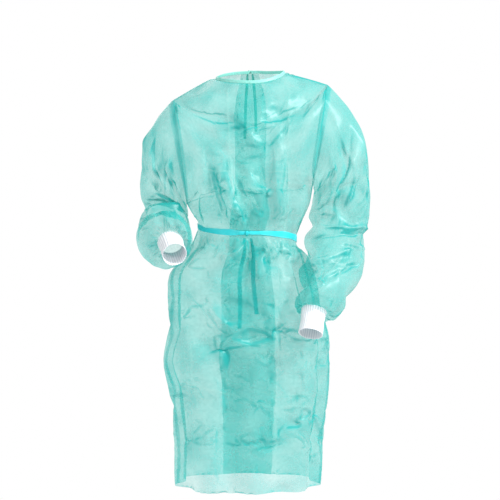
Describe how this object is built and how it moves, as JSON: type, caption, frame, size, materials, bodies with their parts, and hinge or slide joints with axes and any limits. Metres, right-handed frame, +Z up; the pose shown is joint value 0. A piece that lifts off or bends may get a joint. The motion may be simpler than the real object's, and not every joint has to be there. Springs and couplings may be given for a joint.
{
  "type": "worn visitor gown",
  "caption": "Thin long-sleeved nonwoven gown with knitted cuffs, a bound neck and a tied belt, in the filled-out form it has when worn.",
  "frame": {"origin": "middle of the neck opening, level with the wearer's shoulders, which hold the gown up", "axes": "+Z up along the wearer, -Y the front, +X to the wearer's left"},
  "size_m": [0.6168, 0.4067, 1.1245],
  "materials": {
    "mint_nonwoven": "satin",
    "mint_binding": "satin",
    "white_rib_knit": "matte"
  },
  "bodies": {
    "root": {"front_panel": "mint_nonwoven", "back_panel_right": "mint_nonwoven", "back_panel_left": "mint_nonwoven", "sleeve_left": "mint_nonwoven", "sleeve_left_forearm": "mint_nonwoven", "sleeve_right": "mint_nonwoven", "cuff_left": "white_rib_knit", "cuff_right": "white_rib_knit", "neck_binding": "mint_binding", "neck_knot": "mint_binding", "neck_tie_left": "mint_binding", "neck_tie_right": "mint_binding", "belt_left": "mint_binding", "belt_right": "mint_binding", "belt_tack": "mint_binding", "belt_knot": "mint_binding", "belt_end_left": "mint_binding", "belt_end_right": "mint_binding"}
  },
  "joints": []
}
